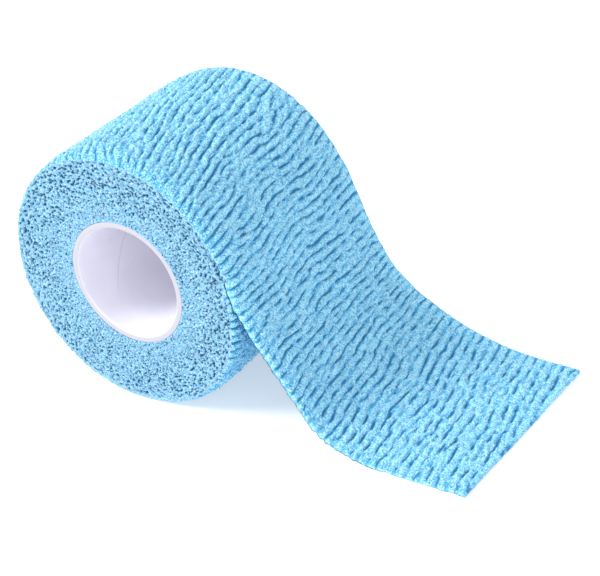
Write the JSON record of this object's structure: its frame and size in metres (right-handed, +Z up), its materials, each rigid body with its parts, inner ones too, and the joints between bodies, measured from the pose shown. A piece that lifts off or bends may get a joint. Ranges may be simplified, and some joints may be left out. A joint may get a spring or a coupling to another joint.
{
  "type": "elastic adhesive bandage roll",
  "caption": "Roll of crinkled light blue elastic bandage on a hollow tube, its loose end run off the top and laid flat.",
  "frame": {"origin": "middle of the flat spot under the roll, on the surface it rests on, below the roll's axis and midway along it", "axes": "+X from the roll towards the cut of the loose end, +Y along the roll's axis away from the face shown, +Z up"},
  "size_m": [0.1185, 0.0509, 0.0636],
  "materials": {
    "tube": "smooth satin white",
    "bandage": "matt crinkled non-woven"
  },
  "bodies": {
    "root": {"core_tube": "tube", "bandage_roll": "bandage", "loose_end": "bandage"}
  },
  "joints": []
}
